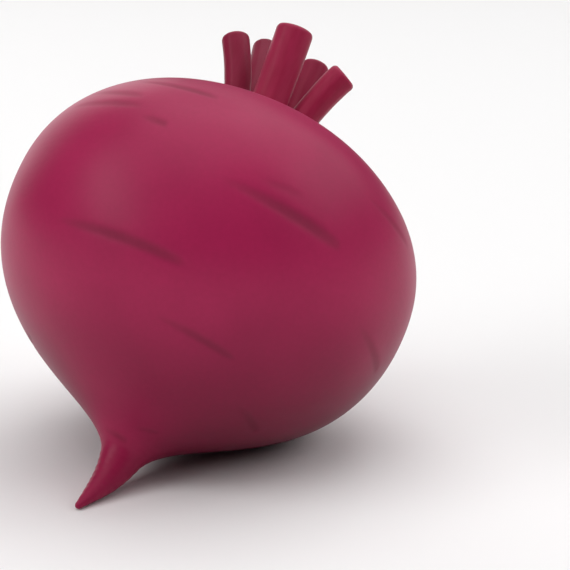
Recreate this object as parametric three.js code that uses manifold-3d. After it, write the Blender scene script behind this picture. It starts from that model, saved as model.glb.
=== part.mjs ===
import * as THREE from "three";
import { mergeVertices } from "three/addons/utils/BufferGeometryUtils.js";
import Module from "manifold-3d";

const wasm = await Module();
wasm.setup();

// A beetroot lying the way it settles on a table: on a small flat low on the bulb, the root
// running out along the table behind it, the cut leaf stalks leaning up in front.
// Millimetres, +Z up. The middle of the flat is the origin and the beet's own axis stays in
// the XZ plane, leaves toward +X, root toward -X.

// Bulb, measured along its axis from its widest ring
const BULB_RADIUS = 40;
const CROWN_HEIGHT = 29;
const SHOULDER_SQUARENESS = 2.2; // 2 is an ellipse, more is squarer
const SIDE_DEPTH = 30.5; // how far down the side keeps to its full width
const BELLY_DEPTH = 42.5; // down to the neck of the root
const NECK_DEPTH = 10; // the last of it, where the belly draws in to the neck
const NECK_FLARE = 0.43; // radius gained per mm above the neck
const NECK_RADIUS = 4;

// How it lies
const FLAT_DEPTH = 1.3; // how much of the bulb the flat takes away
const NECK_HEIGHT = 5.2; // where the axis passes the neck, above the table

// Root
const ROOT_LENGTH = 13.7; // from the neck, along its bend
const ROOT_BEND_ABOVE_NECK = 15.3; // where the axis starts to bend
const ROOT_BEND_PULL = 18.8; // how firmly it holds its old direction there
const ROOT_TOE = 10.7; // length that lies nearly flat
const ROOT_TOE_RISE = 2.6;
const ROOT_TAPER = 0.5; // length over which it keeps narrowing at the neck's rate
const ROOT_TIP_RADIUS = 0.65;

// Leaf stalks, cut short
const STALK_ROOTING = 2; // how far below the crown's top their middle lines begin
const STALK_CUT_ROUNDING = 1;
const STALK_CLEARANCE = 0.3; // between a stalk and the bulb, and between two feet
// heading is degrees round the axis from its upper side toward +Y, lean is away from the axis
// at the crown, and splay is how much further it leans by the cut
const STALKS = [
  { heading: 54, lean: 12, splay: 17, length: 21.5, footRadius: 2.6, cutRadius: 2.85 },
  { heading: -21, lean: 6, splay: 11, length: 21.6, footRadius: 3.6, cutRadius: 3.75 },
  { heading: -83, lean: 9, splay: 28, length: 18.6, footRadius: 2.7, cutRadius: 3 },
  { heading: -163, lean: -5, splay: 1, length: 23.2, footRadius: 2.7, cutRadius: 2.85 },
  { heading: -248, lean: 13, splay: 7, length: 29, footRadius: 2.7, cutRadius: 2.85 },
];

// Smoothness
const RING_SEGMENTS = 56;
const SHOULDER_STEPS = 15;
const BELLY_STEPS = 20;
const ROOT_STEPS = 9;
const STALK_SEGMENTS = 24;
const STALK_STEPS = 5;
const ROUNDING_STEPS = 2;

const { degToRad, lerp, clamp } = THREE.MathUtils;
const sideways = new THREE.Vector3(0, 1, 0);

// A profile point has its radius in x and its place along the axis in y.
const point = (radius, along) => new THREE.Vector2(radius, along);

// Where a steadily rising measure passes zero, between low and high.
function zeroBetween(low, high, measure) {
  for (let i = 0; i < 40; i++) {
    const middle = (low + high) / 2;
    if (measure(middle) > 0) {
      high = middle;
    } else {
      low = middle;
    }
  }
  return (low + high) / 2;
}

// A quarter of a superellipse from the widest ring up to the middle of the crown.
function shoulderProfile(grow = 0) {
  const points = [];
  const power = 2 / SHOULDER_SQUARENESS;
  for (let i = 0; i <= SHOULDER_STEPS; i++) {
    const angle = (i / SHOULDER_STEPS) * (Math.PI / 2);
    const radius = (BULB_RADIUS + grow) * Math.cos(angle) ** power;
    const height = (CROWN_HEIGHT + grow) * Math.sin(angle) ** power;
    points.push(point(radius, height));
  }
  points[SHOULDER_STEPS].x = 0;
  return points;
}

// From the neck of the root up to the widest ring, in one sweep.
function bellyProfile() {
  const sweep = new THREE.CubicBezierCurve(
    point(NECK_RADIUS, -BELLY_DEPTH),
    point(NECK_RADIUS + NECK_FLARE * NECK_DEPTH, NECK_DEPTH - BELLY_DEPTH),
    point(BULB_RADIUS, -SIDE_DEPTH),
    point(BULB_RADIUS, 0),
  );
  return sweep.getPoints(BELLY_STEPS);
}

// The root from its tip up to the neck, which it leaves at the belly's own slope.
function rootProfile() {
  const tipAlong = -BELLY_DEPTH - ROOT_LENGTH;
  const tip = new THREE.Path();
  tip.moveTo(0, tipAlong);
  tip.absarc(0, tipAlong + ROOT_TIP_RADIUS, ROOT_TIP_RADIUS, -Math.PI / 2, 0, false);
  const taper = new THREE.QuadraticBezierCurve(
    point(ROOT_TIP_RADIUS, tipAlong + ROOT_TIP_RADIUS),
    point(NECK_RADIUS - NECK_FLARE * ROOT_TAPER, -BELLY_DEPTH - ROOT_TAPER),
    point(NECK_RADIUS, -BELLY_DEPTH),
  );
  return [...tip.getPoints(ROUNDING_STEPS), ...taper.getPoints(ROOT_STEPS).slice(1)];
}

const profileAboveRoot = [...bellyProfile(), ...shoulderProfile().slice(1)];

// The bulb's underside with its axis at a lean, and how high its widest ring's middle then is.
function layDown(lean) {
  const underside = profileAboveRoot.map((p) => ({
    x: p.y * Math.cos(lean) + p.x * Math.sin(lean),
    z: p.y * Math.sin(lean) - p.x * Math.cos(lean),
  }));
  const height = -Math.min(...underside.map((p) => p.z)) - FLAT_DEPTH;
  return { underside, height };
}

// The beet tips over until the neck of its root is down near the table.
const axisLean = zeroBetween(degToRad(20), degToRad(85), (lean) => (
  NECK_HEIGHT - layDown(lean).height + BELLY_DEPTH * Math.sin(lean)
));
const alongAxis = new THREE.Vector3(Math.cos(axisLean), 0, Math.sin(axisLean));
const upperSide = new THREE.Vector3(-Math.sin(axisLean), 0, Math.cos(axisLean));

// The middle of the widest ring, which puts the middle of the flat at the origin.
function bulbMiddle() {
  const { underside, height } = layDown(axisLean);
  const ends = [];
  for (let i = 1; i < underside.length; i++) {
    const a = underside[i - 1];
    const b = underside[i];
    if (a.z + height > 0 !== b.z + height > 0) {
      ends.push(lerp(a.x, b.x, (a.z + height) / (a.z - b.z)));
    }
  }
  return new THREE.Vector3(-(ends[0] + ends[1]) / 2, 0, height);
}

const middleOfBulb = bulbMiddle();
const onAxis = (along) => middleOfBulb.clone().addScaledVector(alongAxis, along);

// The root's middle line leaves the bulb along the axis and comes to lie along the table.
const bendAlong = ROOT_BEND_ABOVE_NECK - BELLY_DEPTH;
const bendLength = ROOT_BEND_ABOVE_NECK + ROOT_LENGTH;
function rootBendTo(tipX) {
  return new THREE.CubicBezierCurve3(
    onAxis(bendAlong),
    onAxis(bendAlong - ROOT_BEND_PULL),
    new THREE.Vector3(tipX + ROOT_TOE, 0, ROOT_TIP_RADIUS + ROOT_TOE_RISE),
    new THREE.Vector3(tipX, 0, ROOT_TIP_RADIUS),
  );
}
const bendX = onAxis(bendAlong).x;
const tipX = bendX - zeroBetween(0, bendLength, (back) => (
  rootBendTo(bendX - back).getLength() - bendLength
));
const rootBend = rootBendTo(tipX);

// The middle of a ring of the bulb or root, and the way from there toward the leaves.
function bulbFrame(along) {
  if (along >= bendAlong) {
    return { middle: onAxis(along), forward: alongAxis };
  }
  const share = Math.min((bendAlong - along) / bendLength, 1);
  return { middle: rootBend.getPointAt(share), forward: rootBend.getTangentAt(share).negate() };
}

// Turns a profile about a straight axis, then carries each ring to its own frame.
function turned(profile, segments, frameAt, side) {
  const geometry = new THREE.LatheGeometry(profile, segments);
  const position = geometry.getAttribute("position");
  for (let i = 0; i < position.count; i++) {
    const { middle, forward } = frameAt(position.getY(i));
    const across = side.clone().cross(forward);
    const moved = middle.clone();
    moved.addScaledVector(side, position.getX(i));
    moved.addScaledVector(across, position.getZ(i));
    position.setXYZ(i, moved.x, moved.y, moved.z);
  }
  return geometry;
}

// Closes the seams of a mesh and makes it a solid.
function solidOf(geometry) {
  geometry.deleteAttribute("normal");
  geometry.deleteAttribute("uv");
  const merged = mergeVertices(geometry, 1e-3);
  return new wasm.Manifold(new wasm.Mesh({
    numProp: 3,
    vertProperties: new Float32Array(merged.getAttribute("position").array),
    triVerts: new Uint32Array(merged.index.array),
  }));
}

function geometryOf(solid) {
  const mesh = solid.getMesh();
  const geometry = new THREE.BufferGeometry();
  geometry.setAttribute("position", new THREE.BufferAttribute(mesh.vertProperties, 3));
  geometry.setIndex(new THREE.BufferAttribute(mesh.triVerts, 1));
  geometry.computeVertexNormals();
  return geometry;
}

// Everything a solid has below the table's surface, as a block to cut it off with.
function blockBelowTable(solid) {
  const { min, max } = solid.boundingBox();
  const margin = 1;
  const depth = margin - min[2];
  const block = new THREE.BoxGeometry(
    max[0] - min[0] + 2 * margin, max[1] - min[1] + 2 * margin, depth,
  );
  block.translate((min[0] + max[0]) / 2, (min[1] + max[1]) / 2, -depth / 2);
  return solidOf(block);
}

// Bulb and root are one body, flat where it stands on the table.
function bulbSolid() {
  const profile = [...rootProfile(), ...profileAboveRoot.slice(1)];
  const whole = solidOf(turned(profile, RING_SEGMENTS, bulbFrame, sideways));
  return whole.subtract(blockBelowTable(whole));
}

// The upper half of the bulb grown by the clearance, to shape the foot of each stalk.
function stalkFootCutter() {
  const profile = [point(0, 0), ...shoulderProfile(STALK_CLEARANCE)];
  const straight = (along) => ({ middle: onAxis(along), forward: alongAxis });
  return solidOf(turned(profile, RING_SEGMENTS, straight, sideways));
}

// The feet stand in a ring round the crown's middle, which is as wide as the tightest
// neighbours need.
function stalkRingRadius() {
  const radii = STALKS.map((stalk, i) => {
    const next = STALKS[(i + 1) % STALKS.length];
    const turn = THREE.MathUtils.euclideanModulo(stalk.heading - next.heading, 360);
    const apart = stalk.footRadius + next.footRadius + STALK_CLEARANCE;
    return apart / (2 * Math.sin(degToRad(turn / 2)));
  });
  return Math.max(...radii);
}

const ringRadius = stalkRingRadius();

// A stalk's profile, from its foot up to the rounded rim of its square cut.
function stalkProfile(footRadius, cutRadius, length) {
  const rimAlong = length - STALK_CUT_ROUNDING;
  const side = [];
  for (let i = 0; i < STALK_STEPS; i++) {
    const share = i / STALK_STEPS;
    side.push(point(lerp(footRadius, cutRadius, share), share * rimAlong));
  }
  const rim = new THREE.Path();
  rim.moveTo(cutRadius, rimAlong);
  rim.absarc(cutRadius - STALK_CUT_ROUNDING, rimAlong, STALK_CUT_ROUNDING, 0, Math.PI / 2, false);
  return [point(0, 0), ...side, ...rim.getPoints(ROUNDING_STEPS), point(0, length)];
}

// A stalk grows from the ring, curving away from the axis.
function stalkSolid({ heading, lean, splay, length, footRadius, cutRadius }) {
  const outward = upperSide.clone().multiplyScalar(Math.cos(degToRad(heading)));
  outward.addScaledVector(sideways, Math.sin(degToRad(heading)));
  const directionAt = (angle) => {
    const along = alongAxis.clone().multiplyScalar(Math.cos(degToRad(angle)));
    return along.addScaledVector(outward, Math.sin(degToRad(angle)));
  };
  const foot = onAxis(CROWN_HEIGHT - STALK_ROOTING).addScaledVector(outward, ringRadius);
  const knee = foot.clone().addScaledVector(directionAt(lean), length / 2);
  const cut = knee.clone().addScaledVector(directionAt(lean + splay), length / 2);
  const middleLine = new THREE.QuadraticBezierCurve3(foot, knee, cut);
  const curveLength = middleLine.getLength();
  const frameAt = (along) => {
    const share = clamp(along / curveLength, 0, 1);
    return { middle: middleLine.getPointAt(share), forward: middleLine.getTangentAt(share) };
  };
  const side = alongAxis.clone().cross(outward);
  const profile = stalkProfile(footRadius, cutRadius, curveLength);
  return solidOf(turned(profile, STALK_SEGMENTS, frameAt, side));
}

const group = new THREE.Group();
group.name = "beetroot";

function addPiece(name, solid, color, roughness) {
  const material = new THREE.MeshStandardMaterial({ color, roughness, metalness: 0 });
  const mesh = new THREE.Mesh(geometryOf(solid), material);
  mesh.name = name;
  group.add(mesh);
}

addPiece("beet_bulb", bulbSolid(), 0x9d2f52, 0.5);

const footCutter = stalkFootCutter();
STALKS.forEach((stalk, i) => {
  addPiece(`leaf_stalk_${i + 1}`, stalkSolid(stalk).subtract(footCutter), 0x80243a, 0.55);
});

export default group;
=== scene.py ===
import math

import bpy
import numpy as np
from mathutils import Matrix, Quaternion, Vector, noise


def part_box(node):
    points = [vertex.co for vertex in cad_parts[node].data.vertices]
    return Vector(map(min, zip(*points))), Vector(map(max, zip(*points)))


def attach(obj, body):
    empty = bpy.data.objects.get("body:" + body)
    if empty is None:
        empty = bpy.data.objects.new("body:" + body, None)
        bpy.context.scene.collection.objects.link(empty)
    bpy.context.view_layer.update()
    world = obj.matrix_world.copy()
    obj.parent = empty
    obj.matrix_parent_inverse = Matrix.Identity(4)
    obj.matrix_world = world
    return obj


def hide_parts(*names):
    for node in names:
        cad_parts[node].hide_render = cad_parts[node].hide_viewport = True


# A raw beetroot with its leaves cut off short, lying on a pale table. Metres, +Z up.
# The beet's own axis leans in the XZ plane: leaves toward +X, root toward -X.

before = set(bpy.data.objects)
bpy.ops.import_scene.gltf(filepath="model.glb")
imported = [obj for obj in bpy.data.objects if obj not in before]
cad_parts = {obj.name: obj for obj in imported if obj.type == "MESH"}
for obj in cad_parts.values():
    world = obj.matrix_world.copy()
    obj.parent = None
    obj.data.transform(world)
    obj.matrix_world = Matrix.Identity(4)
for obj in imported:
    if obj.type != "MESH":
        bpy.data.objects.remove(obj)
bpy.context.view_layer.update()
mm = 0.001
print("frame loaded:", len(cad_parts), "nodes")


def hexToLinear(code):
    channels = [int(code[i:i + 2], 16) / 255 for i in (1, 3, 5)]
    linear = [c / 12.92 if c <= 0.04045 else ((c + 0.055) / 1.055) ** 2.4 for c in channels]
    return (*linear, 1)


def bezier(corners, count):
    t = np.linspace(0, 1, count)[:, None]
    points = [np.tile(np.array(c, float), (count, 1)) for c in corners]
    while len(points) > 1:
        points = [a + (b - a) * t for a, b in zip(points[:-1], points[1:])]
    return points[0]


# How far along a line each of its points lies.
def travelled(line):
    steps = np.linalg.norm(np.diff(line, axis=0), axis=1)
    return np.concatenate([[0], np.cumsum(steps)])


def sampleAt(places, known, values):
    columns = [np.interp(places, known, values[:, k]) for k in range(values.shape[1])]
    return np.stack(columns, axis=1)


def unit(vectors):
    return vectors / np.linalg.norm(vectors, axis=-1, keepdims=True)


def smoothStep(low, high, value):
    x = np.clip((value - low) / (high - low), 0, 1)
    return x * x * (3 - 2 * x)


# Soft noise from -1 to 1 at every point of a grid, with lumps about one size across.
def noiseAt(grid, size, seed=0):
    shift = Vector((seed * 17.3, seed * 5.1, seed * 9.7))
    values = [noise.noise(Vector(p) + shift) for p in grid.reshape(-1, 3) / size]
    return np.array(values).reshape(grid.shape[:-1])


# Rings of points round a middle line. Heading 0 is the side that forward x side points to.
def ringGrid(middles, forwards, side, radii, columns):
    upper = np.cross(forwards, side)
    heading = np.linspace(0, 2 * math.pi, columns, endpoint=False)
    across = np.cos(heading)[None, :, None] * upper[:, None, :]
    across = across + np.sin(heading)[None, :, None] * np.array(side)
    return middles[:, None, :] + radii[:, None, None] * across


def gridNormals(grid):
    alongRows = np.gradient(grid, axis=0)
    alongColumns = np.roll(grid, -1, axis=1) - np.roll(grid, 1, axis=1)
    return unit(np.cross(alongRows, alongColumns) + 1e-15)


# Rings of points joined into a closed skin, with each attribute stored at its points.
def skinFromRings(name, grid, attributes):
    rows, columns = grid.shape[:2]
    ends = [grid[0].mean(axis=0), grid[-1].mean(axis=0)]
    points = np.concatenate([grid.reshape(-1, 3), ends])
    firstEnd = rows * columns
    lastEnd = firstEnd + 1
    lastRow = (rows - 1) * columns
    faces = []
    for j in range(columns):
        k = (j + 1) % columns
        for start in range(0, lastRow, columns):
            above = start + columns
            faces.append((start + j, above + j, above + k, start + k))
        faces.append((firstEnd, j, k))
        faces.append((lastEnd, lastRow + k, lastRow + j))
    mesh = bpy.data.meshes.new(name)
    mesh.from_pydata(points.tolist(), [], faces)
    for key, values in attributes.items():
        layer = mesh.attributes.new(key, "FLOAT", "POINT")
        atEnds = [values[0].mean(), values[-1].mean()]
        layer.data.foreach_set("value", np.concatenate([values.reshape(-1), atEnds]))
    mesh.shade_smooth()
    mesh.update()
    piece = bpy.data.objects.new(name, mesh)
    bpy.context.collection.objects.link(piece)
    return piece


bulb = {
    "lean": math.radians(47.65),
    "crownHeight": 29 * mm,  # from the widest ring, along the axis
    "squareness": 2.2,
    "sideDepth": 30.5 * mm,
    "bellyDepth": 42.5 * mm,
    "neckDepth": 10 * mm,
    "neckFlare": 0.43,
    "neckRadius": 4 * mm,
    "rings": 340,
    "columns": 256,
    "endInset": 0.02 * mm,  # keeps the first and last ring off the very ends
    "lumpHeight": 0.2 * mm,  # a grown thing is never quite round
    "lumpSize": 26 * mm,
    "crownReach": 15 * mm,  # how far from the middle of the crown its ridges go
    "crownCore": 0.35,  # the share of that reach where they stand at full height
    "crownRidgeHeight": 0.5 * mm,
    "crownRidgeCount": 17,
    "crownRidgeShare": 0.45,  # the rest of that height is loose lumps
    "crownLumpSize": 3.5 * mm,
    "crownWaver": 3,  # radians
    "crownWaverSize": 7 * mm,
    # Painted shade: the skin is darkened where it faces down, in place of the shade under the bulb.
    "paintedUndersideShadeStart": -0.05,  # how far down the skin faces, from -1 to 1
    "paintedUndersideShadeFull": 0.85,
    "paintedUndersideShadeWaver": 0.1,
    "paintedUndersideShadeWaverSize": 12 * mm,
}

root = {
    "length": 13.7 * mm,
    "bendAboveNeck": 15.3 * mm,
    "bendPull": 18.8 * mm,
    "toe": 10.7 * mm,
    "toeRise": 2.6 * mm,
    "taper": 0.5 * mm,
    "tipRadius": 0.65 * mm,
    "startAboveNeck": 8 * mm,  # between these two the bulb's skin turns into the root's
    "fullBelowNeck": 4 * mm,
    "ringHeight": 0.03 * mm,  # the root's own fine wrinkles
    "ringSpacing": 1.5 * mm,
    "ringWaver": 4,  # radians
    "ringWaverSize": 5 * mm,
    "ringTipFade": 3 * mm,
}

# Old scrapes in the skin, healed dull and dark. Each runs round the bulb from its thin end
# to its blunt end: millimetres down the skin from the middle of the crown, degrees round
# the axis from its upper side, the same for the blunt end, width in mm, and strength.
scrapes = {
    "depth": 0.1 * mm,
    "startPower": 0.7,  # how slowly it fills out from its thin end
    "endPower": 0.35,
    "fullest": 0.53,
    "thinWidth": 0.45,  # shares of the width, where it is thinnest and what it gains
    "widthGain": 0.7,
    "upperEdge": 0.7,
    "lowerEdge": 1.3,  # crisper below
    "placed": [
        (70.6, 9, 72.6, -31, 1.7, 1.0),
        (57.0, -32, 57.6, -66, 2.0, 1.0),
        (54.2, -40, 53.4, -51, 1.2, 0.4),
        (83.0, -28, 84.0, -58, 1.4, 0.8),
        (38.2, 8, 40.2, -21, 1.6, 0.9),
        (42.4, 22, 44.4, -1, 1.5, 0.6),
        (46.6, 24, 47.2, -4, 1.5, 0.6),
        (49.6, -6, 50.6, -14, 1.3, 0.8),
        (111.6, 20, 112.6, -34, 1.2, 0.7),
        (109.0, -36, 107.6, -64, 1.0, 0.5),
        (66.0, -84, 67.6, -108, 1.6, 0.7),
        (91.5, -76, 92.6, -104, 1.4, 0.6),
        (45.0, -70, 45.8, -92, 1.5, 0.6),
        (60.0, 84, 61.0, 56, 1.8, 0.9),
        (76.0, 106, 77.5, 72, 1.7, 0.9),
        (88.0, 76, 89.0, 54, 1.4, 0.7),
        (47.0, 114, 48.5, 84, 1.6, 0.8),
    ],
    "scattered": 34,  # the same again round the far side
    "scatterSeed": 11,
}

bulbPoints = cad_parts["beet_bulb"].data.vertices
widestPoint = max(bulbPoints, key=lambda v: v.co.y).co  # level with the widest ring's middle
bulbRadius = widestPoint.y
bulbMiddle = np.array([widestPoint.x, 0, widestPoint.z])
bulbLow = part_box("beet_bulb")[0]
beetAxis = np.array([math.cos(bulb["lean"]), 0, math.sin(bulb["lean"])])
upperSide = np.array([-math.sin(bulb["lean"]), 0, math.cos(bulb["lean"])])
sideways = np.array([0, 1, 0])


# Radius, and place along the axis, from the root's tip up to the middle of the crown. The
# counts only say how finely each stretch is followed.
def bulbProfile():
    tipAlong = -bulb["bellyDepth"] - root["length"]
    turn = np.linspace(-math.pi / 2, 0, 20)
    tip = np.stack([np.cos(turn), 1 + np.sin(turn)], axis=1) * root["tipRadius"] + [0, tipAlong]
    neckRadius = bulb["neckRadius"]
    neckAlong = -bulb["bellyDepth"]
    taper = bezier([
        (root["tipRadius"], tipAlong + root["tipRadius"]),
        (neckRadius - bulb["neckFlare"] * root["taper"], neckAlong - root["taper"]),
        (neckRadius, neckAlong),
    ], 100)
    belly = bezier([
        (neckRadius, neckAlong),
        (neckRadius + bulb["neckFlare"] * bulb["neckDepth"], neckAlong + bulb["neckDepth"]),
        (bulbRadius, -bulb["sideDepth"]),
        (bulbRadius, 0),
    ], 400)
    turn = np.linspace(0, math.pi / 2, 300)
    power = 2 / bulb["squareness"]
    shoulder = np.stack([
        bulbRadius * np.cos(turn) ** power,
        bulb["crownHeight"] * np.sin(turn) ** power,
    ], axis=1)
    return np.concatenate([tip[:-1], taper[:-1], belly[:-1], shoulder])


# The middle of each ring and the way toward the leaves there. The root bends to the table.
def bulbMiddleLine(along):
    bendAlong = root["bendAboveNeck"] - bulb["bellyDepth"]
    middles = bulbMiddle + beetAxis * along[:, None]
    forwards = np.tile(beetAxis, (len(along), 1))
    bend = bezier([
        bulbMiddle + beetAxis * bendAlong,
        bulbMiddle + beetAxis * (bendAlong - root["bendPull"]),
        (bulbLow.x + root["toe"], 0, root["tipRadius"] + root["toeRise"]),
        (bulbLow.x, 0, root["tipRadius"]),
    ], 600)
    length = travelled(bend)
    bent = along < bendAlong
    share = (bendAlong - along[bent]) / (root["bendAboveNeck"] + root["length"])
    middles[bent] = sampleAt(share * length[-1], length, bend)
    forwards[bent] = -unit(sampleAt(share * length[-1], length, np.gradient(bend, axis=0)))
    return middles, forwards


# How strongly one scrape shows at every point: thin at its start, blunt at its end.
def scrapeShape(down, heading, scrape):
    startDown, startHeading, endDown, endHeading, width, strength = scrape
    turn = (heading - startHeading + 180) % 360 - 180
    share = turn / (endHeading - startHeading)
    inside = (share > 0) & (share < 1)
    share = np.clip(share, 0.001, 0.999)
    fullness = share ** scrapes["startPower"] * (1 - share) ** scrapes["endPower"] / scrapes["fullest"]
    centre = startDown + (endDown - startDown) * share
    halfWidth = width * (scrapes["thinWidth"] + scrapes["widthGain"] * fullness) / 2
    offset = (down / mm - centre) / halfWidth
    edge = np.where(offset > 0, scrapes["lowerEdge"], scrapes["upperEdge"])
    softEdge = np.exp(-edge * np.abs(offset) ** 3)
    return inside * strength * np.minimum(fullness, 1) * softEdge


def scrapeStrength(down, heading):
    total = np.zeros(np.broadcast(down, heading).shape)
    random = np.random.default_rng(scrapes["scatterSeed"])
    scattered = []
    for _ in range(scrapes["scattered"]):
        startDown = random.uniform(30, 104)
        startHeading = random.uniform(72, 245)
        reach = random.uniform(9, 30)
        drift = random.uniform(-1, 2)
        width = random.uniform(1.1, 2)
        strength = random.uniform(0.45, 1)
        endDown = startDown + drift
        scattered.append((startDown, startHeading, endDown, startHeading - reach, width, strength))
    for scrape in scrapes["placed"] + scattered:
        total = np.maximum(total, scrapeShape(down, heading, scrape))
    return total


def makeBulb():
    profile = bulbProfile()
    length = travelled(profile)
    places = np.linspace(bulb["endInset"], length[-1] - bulb["endInset"], bulb["rings"])
    radii, along = sampleAt(places, length, profile).T
    middles, forwards = bulbMiddleLine(along)
    grid = ringGrid(middles, forwards, sideways, radii, bulb["columns"])
    normals = gridNormals(grid)
    down = np.tile((length[-1] - places)[:, None], (1, bulb["columns"]))
    heading = np.linspace(0, 360, bulb["columns"], endpoint=False)[None, :]

    scrape = scrapeStrength(down, heading)
    crown = 1 - smoothStep(bulb["crownCore"], 1, down / bulb["crownReach"])
    neckDown = length[-1] - np.interp(-bulb["bellyDepth"], along, places)
    rootward = smoothStep(neckDown - root["startAboveNeck"], neckDown + root["fullBelowNeck"], down)

    lumps = bulb["lumpHeight"] * noiseAt(grid, bulb["lumpSize"]) * (1 - rootward)
    waver = bulb["crownWaver"] * noiseAt(grid, bulb["crownWaverSize"], seed=3)
    ridges = np.cos(np.radians(heading) * bulb["crownRidgeCount"] + waver)
    crownLumps = noiseAt(grid, bulb["crownLumpSize"], seed=5)
    ridges = bulb["crownRidgeShare"] * ridges + (1 - bulb["crownRidgeShare"]) * crownLumps
    waver = root["ringWaver"] * noiseAt(grid, root["ringWaverSize"], seed=8)
    wrinkles = np.sin(2 * math.pi * down / root["ringSpacing"] + waver)
    wrinkles = wrinkles * smoothStep(0, root["ringTipFade"], places)[:, None]
    height = lumps - scrapes["depth"] * scrape
    height = height + bulb["crownRidgeHeight"] * crown * ridges
    height = height + root["ringHeight"] * rootward * wrinkles

    grid = grid + normals * height[:, :, None]
    grid[:, :, 2] = np.maximum(grid[:, :, 2], 0)  # the flat spot
    # Painted shade under the bulb: how far each point of the skin faces down.
    waver = bulb["paintedUndersideShadeWaver"] * noiseAt(grid, bulb["paintedUndersideShadeWaverSize"], seed=9)
    paintedUndersideShade = smoothStep(bulb["paintedUndersideShadeStart"], bulb["paintedUndersideShadeFull"], waver - normals[:, :, 2])
    return skinFromRings("beetBulb", grid, {
        "scrape": scrape,
        "rootward": rootward,
        "crown": crown,
        "paintedUndersideShade": paintedUndersideShade,
    })


beetBulb = makeBulb()
print("bulb:", len(beetBulb.data.vertices), "points")


# Cut leaf stalks in a ring round the crown. Heading is degrees round the axis from its upper
# side, lean is away from the axis at the crown, splay is how much further it leans by the cut.
# Length, and the radii at foot and cut, are in mm. The last value is painted shade, darkest at 1.
stalks = {
    "rooting": 2 * mm,  # how far below the crown's top their middle lines begin
    "ringRadius": 6.41 * mm,
    "cutRounding": 1 * mm,
    "cutStart": 0.6,  # shares of that rounding, from the end, where skin turns into cut
    "cutFull": 0.05,
    "cutDish": 0.25 * mm,  # the cut end dries a little hollow
    "dishFloor": 0.2,  # shares of the cut's radius
    "dishEdge": 0.95,
    "cutMiddle": 0.02 * mm,  # the radius of the last ring
    "rings": 90,
    "columns": 96,
    "ribCount": 11,
    "ribHeight": 0.018 * mm,
    "ribWaver": 1.5,  # radians
    "ribWaverSize": 9 * mm,
    "lumpHeight": 0.12 * mm,
    "lumpSize": 6 * mm,
    "footFlare": 0.7 * mm,  # the sheath where a stalk meets the crown
    "footFlareReach": 2.6 * mm,
    "each": [
        {"heading": 54, "lean": 12, "splay": 17, "length": 21.5, "foot": 2.6, "cut": 2.85, "paintedStalkShade": 0.45},
        {"heading": -21, "lean": 6, "splay": 11, "length": 21.6, "foot": 3.6, "cut": 3.75, "paintedStalkShade": 0},
        {"heading": -83, "lean": 9, "splay": 28, "length": 18.6, "foot": 2.7, "cut": 3, "paintedStalkShade": 0},
        {"heading": -163, "lean": -5, "splay": 1, "length": 23.2, "foot": 2.7, "cut": 2.85, "paintedStalkShade": 0.45},
        {"heading": -248, "lean": 13, "splay": 7, "length": 29, "foot": 2.7, "cut": 2.85, "paintedStalkShade": 0.7},
    ],
}


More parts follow.
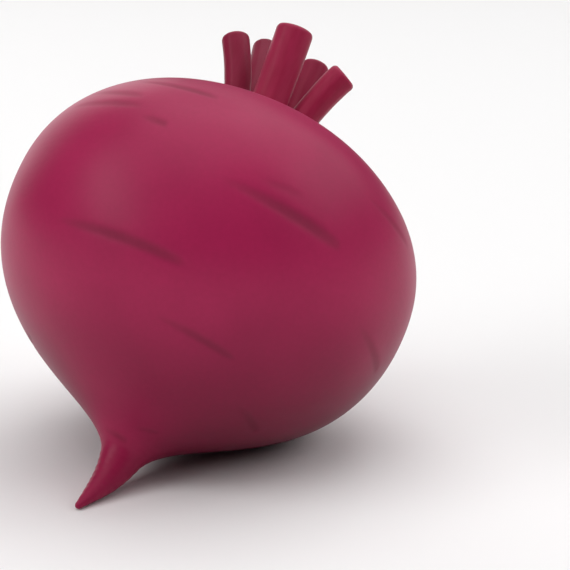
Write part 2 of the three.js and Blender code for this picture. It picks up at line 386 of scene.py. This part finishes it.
def makeStalk(number, stalk):
    heading = math.radians(stalk["heading"])
    outward = upperSide * math.cos(heading) + sideways * math.sin(heading)
    lean = math.radians(stalk["lean"])
    cutLean = math.radians(stalk["lean"] + stalk["splay"])
    start = bulbMiddle + beetAxis * (bulb["crownHeight"] - stalks["rooting"])
    start = start + outward * stalks["ringRadius"]
    half = stalk["length"] * mm / 2
    knee = start + (beetAxis * math.cos(lean) + outward * math.sin(lean)) * half
    end = knee + (beetAxis * math.cos(cutLean) + outward * math.sin(cutLean)) * half
    line = bezier([start, knee, end], 300)
    lineLength = travelled(line)
    length = lineLength[-1]

    # Radius and place from the foot, up over the rim and in across the cut.
    footRadius = stalk["foot"] * mm
    cutRadius = stalk["cut"] * mm
    rounding = stalks["cutRounding"]
    side = np.stack([
        np.linspace(footRadius, cutRadius, 120),
        np.linspace(0, length - rounding, 120),
    ], axis=1)
    turn = np.linspace(0, math.pi / 2, 24)
    rim = np.stack([
        cutRadius - rounding + rounding * np.cos(turn),
        length - rounding + rounding * np.sin(turn),
    ], axis=1)
    cutRadii = np.linspace(cutRadius - rounding, stalks["cutMiddle"], 60)
    cutFace = np.stack([cutRadii, np.full(60, length)], axis=1)
    profile = np.concatenate([side[:-1], rim[:-1], cutFace])
    profileLength = travelled(profile)
    places = np.linspace(0, profileLength[-1], stalks["rings"])
    radii, along = sampleAt(places, profileLength, profile).T

    # Near the foot: the sheath's flare, and the painted shade at the foot in the colour.
    nearFoot = 1 - smoothStep(0, stalks["footFlareReach"], along - stalks["rooting"])
    radii = radii + stalks["footFlare"] * nearFoot ** 2
    cutStart = length - stalks["cutStart"] * rounding
    onCut = smoothStep(cutStart, length - stalks["cutFull"] * rounding, along)
    outFromMiddle = radii / cutRadius
    hollow = 1 - smoothStep(stalks["dishFloor"], stalks["dishEdge"], outFromMiddle)
    dish = stalks["cutDish"] * hollow * onCut
    middles = sampleAt(along, lineLength, line)
    forwards = unit(sampleAt(along, lineLength, np.gradient(line, axis=0)))
    middles = middles - forwards * dish[:, None]
    grid = ringGrid(middles, forwards, np.cross(beetAxis, outward), radii, stalks["columns"])

    turn = np.linspace(0, 2 * math.pi, stalks["columns"], endpoint=False)[None, :]
    waver = stalks["ribWaver"] * noiseAt(grid, stalks["ribWaverSize"], seed=number)
    ribs = np.cos(turn * stalks["ribCount"] + waver)
    height = stalks["ribHeight"] * ribs * (1 - onCut[:, None])
    height = height + stalks["lumpHeight"] * noiseAt(grid, stalks["lumpSize"], seed=number + 20)
    grid = grid + gridNormals(grid) * height[:, :, None]
    # painted shade over the whole stalk, in place of the shade the bulb and other stalks throw, and at
    # its foot
    paintedStalkShade = np.full(len(along), float(stalk["paintedStalkShade"]))
    shades = {"cut": onCut, "cutRing": outFromMiddle, "foot": nearFoot, "paintedStalkShade": paintedStalkShade}
    attributes = {
        key: np.tile(values[:, None], (1, stalks["columns"])) for key, values in shades.items()
    }
    return skinFromRings("leafStalk" + str(number), grid, attributes)


leafStalks = [makeStalk(i + 1, stalk) for i, stalk in enumerate(stalks["each"])]
print("leaf stalks:", len(leafStalks))


# Adds one node, fills in its settings and sockets, and joins any socket that is given a link.
# A socket is given by its name, or by its number after an underscore.
def addNode(tree, kind, settings=None, **sockets):
    node = tree.nodes.new(kind)
    for key, value in (settings or {}).items():
        setattr(node, key, value)
    for key, value in sockets.items():
        socket = node.inputs[int(key[1:])] if key[1:].isdigit() else node.inputs[key]
        if isinstance(value, bpy.types.NodeSocket):
            tree.links.new(value, socket)
        else:
            socket.default_value = value
    return node


def newMaterial(name):
    material = bpy.data.materials.new(name)
    material.use_nodes = True
    material.node_tree.nodes.clear()
    return material, material.node_tree


# Raw beetroot skin, washed: a thin corky layer over wet flesh. The eye sees deep crimson, an
# even satin gloss, and a pale bloom where it looks along the skin.
beetSkin = {
    "colour": "#a41f4f",
    "deeperColour": "#9a1a49",
    "paintedUndersideShadeColour": "#6c0a2e",  # painted shade, darkest where the skin faces down under the bulb
    "rootwardColour": "#961844",
    "crownColour": "#7d2a3c",
    "scrapeTint": "#d6ffd8",  # takes the red out, so a scrape looks greyer than the skin
    "patchSize": 22 * mm,
    "patchLimits": (0.35, 0.65),
    "fleckSize": 0.9 * mm,  # real pores are finer, these are as fine as can be seen
    "fleckLimits": (0.3, 0.75),
    "fleckShades": (0.97, 1.04),
    "fleckRelief": 0.35,  # beside the wrinkles' own
    "wrinkleSize": 1.3 * mm,
    "wrinkleStretch": 0.16,
    "wrinkleHeight": 0.03 * mm,
    "bumpStrength": 0.6,
    "roughness": 0.38,
    "scrapeRoughness": 0.14,  # these two add to it
    "patchRoughness": 0.06,
    "sheen": 0.04,
    "sheenRoughness": 0.22,
    "sheenTint": "#f2e2e6",
    "ior": 1.45,
    "specular": 0.23,
}


def makeBeetSkin():
    look = beetSkin
    material, tree = newMaterial("washed beetroot skin")
    place = addNode(tree, "ShaderNodeTexCoord").outputs["Object"]
    # turned so that x runs along the beet's axis
    turned = addNode(tree, "ShaderNodeMapping", Vector=place, Rotation=(0, bulb["lean"], 0))
    turned = turned.outputs["Vector"]
    scrape = addNode(tree, "ShaderNodeAttribute", {"attribute_name": "scrape"}).outputs["Fac"]

    patches = addNode(
        tree, "ShaderNodeTexNoise", Vector=turned, Scale=1 / look["patchSize"], Detail=2.0,
    )
    patchShare = addNode(
        tree, "ShaderNodeMapRange", Value=patches.outputs["Fac"],
        **{"From Min": look["patchLimits"][0], "From Max": look["patchLimits"][1]},
    )
    colour = addNode(
        tree, "ShaderNodeMix", {"data_type": "RGBA"}, _0=patchShare.outputs["Result"],
        _6=hexToLinear(look["colour"]), _7=hexToLinear(look["deeperColour"]),
    )
    # The first of these is painted shade under the bulb; the root and the crown get their own tones.
    for region in ("paintedUndersideShade", "rootward", "crown"):
        share = addNode(tree, "ShaderNodeAttribute", {"attribute_name": region}).outputs["Fac"]
        colour = addNode(
            tree, "ShaderNodeMix", {"data_type": "RGBA"}, _0=share,
            _6=colour.outputs[2], _7=hexToLinear(look[region + "Colour"]),
        )
    flecks = addNode(
        tree, "ShaderNodeTexNoise", Vector=place, Scale=1 / look["fleckSize"], Detail=3.0,
    )
    fleckShade = addNode(
        tree, "ShaderNodeMapRange", Value=flecks.outputs["Fac"],
        **{
            "From Min": look["fleckLimits"][0],
            "From Max": look["fleckLimits"][1],
            "To Min": look["fleckShades"][0],
            "To Max": look["fleckShades"][1],
        },
    )
    colour = addNode(
        tree, "ShaderNodeVectorMath", {"operation": "SCALE"},
        _0=colour.outputs[2], Scale=fleckShade.outputs["Result"],
    )
    colour = addNode(
        tree, "ShaderNodeMix", {"data_type": "RGBA", "blend_type": "MULTIPLY"}, _0=scrape,
        _6=colour.outputs["Vector"], _7=hexToLinear(look["scrapeTint"]),
    )

    # wrinkles run round the beet, so they are fine along the axis and long across it
    stretch = (1, look["wrinkleStretch"], look["wrinkleStretch"])
    stretched = addNode(tree, "ShaderNodeMapping", Vector=turned, Scale=stretch)
    wrinkles = addNode(
        tree, "ShaderNodeTexNoise", Vector=stretched.outputs["Vector"],
        Scale=1 / look["wrinkleSize"], Detail=4.0, Roughness=0.55,
    )
    relief = addNode(
        tree, "ShaderNodeMath", {"operation": "MULTIPLY_ADD"},
        _0=flecks.outputs["Fac"], _1=look["fleckRelief"], _2=wrinkles.outputs["Fac"],
    )
    bump = addNode(
        tree, "ShaderNodeBump", Height=relief.outputs[0],
        Distance=look["wrinkleHeight"], Strength=look["bumpStrength"],
    )
    roughness = addNode(
        tree, "ShaderNodeMath", {"operation": "MULTIPLY_ADD"},
        _0=scrape, _1=look["scrapeRoughness"], _2=look["roughness"],
    )
    roughness = addNode(
        tree, "ShaderNodeMath", {"operation": "MULTIPLY_ADD"},
        _0=patches.outputs["Fac"], _1=look["patchRoughness"], _2=roughness.outputs[0],
    )
    shader = addNode(
        tree, "ShaderNodeBsdfPrincipled", Roughness=roughness.outputs[0], IOR=look["ior"],
        Normal=bump.outputs["Normal"],
        **{
            "Base Color": colour.outputs[2],
            "Specular IOR Level": look["specular"],
            "Sheen Weight": look["sheen"],
            "Sheen Roughness": look["sheenRoughness"],
            "Sheen Tint": hexToLinear(look["sheenTint"]),
        },
    )
    addNode(tree, "ShaderNodeOutputMaterial", Surface=shader.outputs["BSDF"])
    return material


# Leaf stalk, cut and washed: fleshy and ribbed, so a softer gloss than the bulb. Its cut end
# has dried paler, with a ring of fine strands.
stalkSkin = {
    "colour": "#a0264a",
    "darkerColour": "#992244",
    # painted shade for a stalk that the bulb and the other stalks shade
    "paintedStalkShadeColour": "#6e142e",
    # painted shade at the foot, between the stalks where they meet the crown
    "footColour": "#861d3a",
    "cutColour": "#a03450",
    "cutStrandColour": "#ae4a62",
    "strandSpacing": 1.1 * mm,
    "strandStretch": 0.12,
    "strandLimits": (0.35, 0.65),
    "strandHeight": 0.05 * mm,
    "bumpStrength": 0.6,
    "cutStrandSize": 0.8 * mm,  # coarser than the real ones, so that they show
    "cutStrandLimits": (0.15, 0.4),
    "cutStrandRing": (0.72, 0.5),  # shares of the cut's radius, where they start and are full
    "roughness": 0.45,
    "cutRoughness": 0.15,  # adds to it
    "sheen": 0.03,
    "sheenRoughness": 0.3,
    "sheenTint": "#f2e2e6",
    "ior": 1.45,
    "specular": 0.18,
}


def makeStalkSkin():
    look = stalkSkin
    material, tree = newMaterial("cut beet leaf stalk")
    place = addNode(tree, "ShaderNodeTexCoord").outputs["Object"]
    turned = addNode(tree, "ShaderNodeMapping", Vector=place, Rotation=(0, bulb["lean"], 0))
    cut = addNode(tree, "ShaderNodeAttribute", {"attribute_name": "cut"}).outputs["Fac"]
    cutRing = addNode(tree, "ShaderNodeAttribute", {"attribute_name": "cutRing"}).outputs["Fac"]

    # strands run up the stalk, so the pattern is long along the axis
    stretched = addNode(
        tree, "ShaderNodeMapping", Vector=turned.outputs["Vector"],
        Scale=(look["strandStretch"], 1, 1),
    )
    strands = addNode(
        tree, "ShaderNodeTexNoise", Vector=stretched.outputs["Vector"],
        Scale=1 / look["strandSpacing"], Detail=2.0,
    )
    strandShare = addNode(
        tree, "ShaderNodeMapRange", Value=strands.outputs["Fac"],
        **{"From Min": look["strandLimits"][0], "From Max": look["strandLimits"][1]},
    )
    colour = addNode(
        tree, "ShaderNodeMix", {"data_type": "RGBA"}, _0=strandShare.outputs["Result"],
        _6=hexToLinear(look["colour"]), _7=hexToLinear(look["darkerColour"]),
    )
    # both are painted shade: over a whole stalk, and at its foot between the stalks
    for region in ("paintedStalkShade", "foot"):
        share = addNode(tree, "ShaderNodeAttribute", {"attribute_name": region}).outputs["Fac"]
        colour = addNode(
            tree, "ShaderNodeMix", {"data_type": "RGBA"}, _0=share,
            _6=colour.outputs[2], _7=hexToLinear(look[region + "Colour"]),
        )
    cells = addNode(tree, "ShaderNodeTexVoronoi", Vector=place, Scale=1 / look["cutStrandSize"])
    cutStrands = addNode(
        tree, "ShaderNodeMapRange", Value=cells.outputs["Distance"],
        **{
            "From Min": look["cutStrandLimits"][0],
            "From Max": look["cutStrandLimits"][1],
            "To Min": 1,
            "To Max": 0,
        },
    )
    inRing = addNode(
        tree, "ShaderNodeMapRange", {"interpolation_type": "SMOOTHSTEP"}, Value=cutRing,
        **{"From Min": look["cutStrandRing"][0], "From Max": look["cutStrandRing"][1]},
    )
    cutStrands = addNode(
        tree, "ShaderNodeMath", {"operation": "MULTIPLY"},
        _0=cutStrands.outputs["Result"], _1=inRing.outputs["Result"],
    )
    cutColour = addNode(
        tree, "ShaderNodeMix", {"data_type": "RGBA"}, _0=cutStrands.outputs[0],
        _6=hexToLinear(look["cutColour"]), _7=hexToLinear(look["cutStrandColour"]),
    )
    colour = addNode(
        tree, "ShaderNodeMix", {"data_type": "RGBA"}, _0=cut,
        _6=colour.outputs[2], _7=cutColour.outputs[2],
    )
    bump = addNode(
        tree, "ShaderNodeBump", Height=strands.outputs["Fac"],
        Distance=look["strandHeight"], Strength=look["bumpStrength"],
    )
    roughness = addNode(
        tree, "ShaderNodeMath", {"operation": "MULTIPLY_ADD"},
        _0=cut, _1=look["cutRoughness"], _2=look["roughness"],
    )
    shader = addNode(
        tree, "ShaderNodeBsdfPrincipled", Roughness=roughness.outputs[0], IOR=look["ior"],
        Normal=bump.outputs["Normal"],
        **{
            "Base Color": colour.outputs[2],
            "Specular IOR Level": look["specular"],
            "Sheen Weight": look["sheen"],
            "Sheen Roughness": look["sheenRoughness"],
            "Sheen Tint": hexToLinear(look["sheenTint"]),
        },
    )
    addNode(tree, "ShaderNodeOutputMaterial", Surface=shader.outputs["BSDF"])
    return material


beetBulb.data.materials.append(makeBeetSkin())
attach(beetBulb, "root")
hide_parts("beet_bulb")

stalkMaterial = makeStalkSkin()
for i, leafStalk in enumerate(leafStalks):
    leafStalk.data.materials.append(stalkMaterial)
    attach(leafStalk, "root")
    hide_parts("leaf_stalk_" + str(i + 1))
print("materials: skin and stalks")


# A matt white table top, sprayed and rubbed flat, so it gives an even pale ground.
table = {
    "size": 40,  # metres, so that it reaches the horizon
    "colour": "#efeeee",
    "roughness": 0.9,
    "specular": 0,  # dead matt, so it doesn't darken toward its far edge
    "grainSize": 1.5 * mm,
    "grainHeight": 0.01 * mm,
}


def makeTable():
    half = table["size"] / 2
    mesh = bpy.data.meshes.new("table")
    corners = [(-half, -half, 0), (half, -half, 0), (half, half, 0), (-half, half, 0)]
    mesh.from_pydata(corners, [], [(0, 1, 2, 3)])
    piece = bpy.data.objects.new("table", mesh)
    bpy.context.collection.objects.link(piece)
    material, tree = newMaterial("matt sprayed table top")
    place = addNode(tree, "ShaderNodeTexCoord").outputs["Object"]
    grain = addNode(tree, "ShaderNodeTexNoise", Vector=place, Scale=1 / table["grainSize"])
    bump = addNode(
        tree, "ShaderNodeBump", Height=grain.outputs["Fac"], Distance=table["grainHeight"],
    )
    shader = addNode(
        tree, "ShaderNodeBsdfPrincipled", Roughness=table["roughness"],
        Normal=bump.outputs["Normal"],
        **{"Base Color": hexToLinear(table["colour"]), "Specular IOR Level": table["specular"]},
    )
    addNode(tree, "ShaderNodeOutputMaterial", Surface=shader.outputs["BSDF"])
    mesh.materials.append(material)
    return piece


makeTable()


# Soft studio light: large panels far off, each given by the side it shines from and how much
# of the sky it fills, in degrees. The room behind them is dim but looks as pale as the table.
studio = {
    "roomColour": "#f4f3f3",
    "roomGlow": 0.04,
    "roomBrightness": 1.04,
    "panels": [
        {"name": "overhead", "azimuth": 0, "elevation": 90, "spread": 60, "strength": 1.45},
        {"name": "front left", "azimuth": -80, "elevation": 48, "spread": 50, "strength": 0.18},
        {"name": "right", "azimuth": 22, "elevation": 38, "spread": 38, "strength": 0.72},
        {"name": "back right", "azimuth": 67, "elevation": 43, "spread": 50, "strength": 0.75},
        {"name": "back", "azimuth": 148, "elevation": 14, "spread": 40, "strength": 0.46},
        {"name": "high back", "azimuth": 128, "elevation": 48, "spread": 52, "strength": 0.45},
    ],
    # One nearer panel leaves the tall soft shine on the bulb. Its foot leans toward the camera.
    "tallPanel": {
        "name": "tall panel",
        "azimuth": -122,
        "elevation": 33,
        "tilt": 43,
        "distance": 3,
        "size": (1.1, 2.6),
        "power": 34,
    },
}


# The way back from what is looked at, azimuth 0 looking along +Y.
def backFrom(azimuth, elevation):
    return Vector((
        math.sin(azimuth) * math.cos(elevation),
        -math.cos(azimuth) * math.cos(elevation),
        math.sin(elevation),
    ))


def hangLamp(panel, kind):
    light = bpy.data.lights.new(panel["name"], kind)
    lamp = bpy.data.objects.new(panel["name"], light)
    side = backFrom(math.radians(panel["azimuth"]), math.radians(panel["elevation"]))
    tilt = Quaternion((0, 0, 1), math.radians(panel.get("tilt", 0)))
    lamp.location = Vector(bulbMiddle) + side * panel.get("distance", 0)
    lamp.rotation_euler = (side.to_track_quat("Z", "Y") @ tilt).to_euler()
    bpy.context.collection.objects.link(lamp)
    return light


def makeStudio():
    world = bpy.data.worlds.new("studio room")
    world.use_nodes = True
    tree = world.node_tree
    tree.nodes.clear()
    colour = hexToLinear(studio["roomColour"])
    glow = addNode(tree, "ShaderNodeBackground", Color=colour, Strength=studio["roomGlow"])
    seen = addNode(tree, "ShaderNodeBackground", Color=colour, Strength=studio["roomBrightness"])
    ray = addNode(tree, "ShaderNodeLightPath")
    room = addNode(
        tree, "ShaderNodeMixShader", _0=ray.outputs["Is Camera Ray"],
        _1=glow.outputs["Background"], _2=seen.outputs["Background"],
    )
    addNode(tree, "ShaderNodeOutputWorld", Surface=room.outputs["Shader"])
    bpy.context.scene.world = world
    for panel in studio["panels"]:
        light = hangLamp(panel, "SUN")
        light.angle = math.radians(panel["spread"])
        light.energy = panel["strength"]
    light = hangLamp(studio["tallPanel"], "AREA")
    light.shape = "RECTANGLE"
    light.size, light.size_y = studio["tallPanel"]["size"]
    light.energy = studio["tallPanel"]["power"]


makeStudio()


# Low and close, from the root's side, looking a little past the beet.
camera = {
    "azimuth": math.radians(-57.9),
    "elevation": math.radians(15.1),
    "distance": 259.6 * mm,
    "aimRight": 14.3 * mm,  # from the bulb's middle
    "aimUp": -5.1 * mm,
    "lens": 85,  # this and the film's width are in millimetres, as Blender takes them
    "filmWidth": 36,
    "nearest": 0.01,
    "farthest": 50,
}


def makeCamera():
    azimuth = camera["azimuth"]
    back = backFrom(azimuth, camera["elevation"])
    right = Vector((math.cos(azimuth), math.sin(azimuth), 0))
    aim = Vector(bulbMiddle) + right * camera["aimRight"] + back.cross(right) * camera["aimUp"]
    lens = bpy.data.cameras.new("camera")
    lens.lens = camera["lens"]
    lens.sensor_width = camera["filmWidth"]
    lens.clip_start = camera["nearest"]
    lens.clip_end = camera["farthest"]
    piece = bpy.data.objects.new("camera", lens)
    piece.location = aim + back * camera["distance"]
    piece.rotation_euler = (-back).to_track_quat("-Z", "Y").to_euler()
    bpy.context.collection.objects.link(piece)
    bpy.context.scene.camera = piece


makeCamera()
bpy.context.scene.view_settings.view_transform = "Standard"
print("table, lights and camera placed")
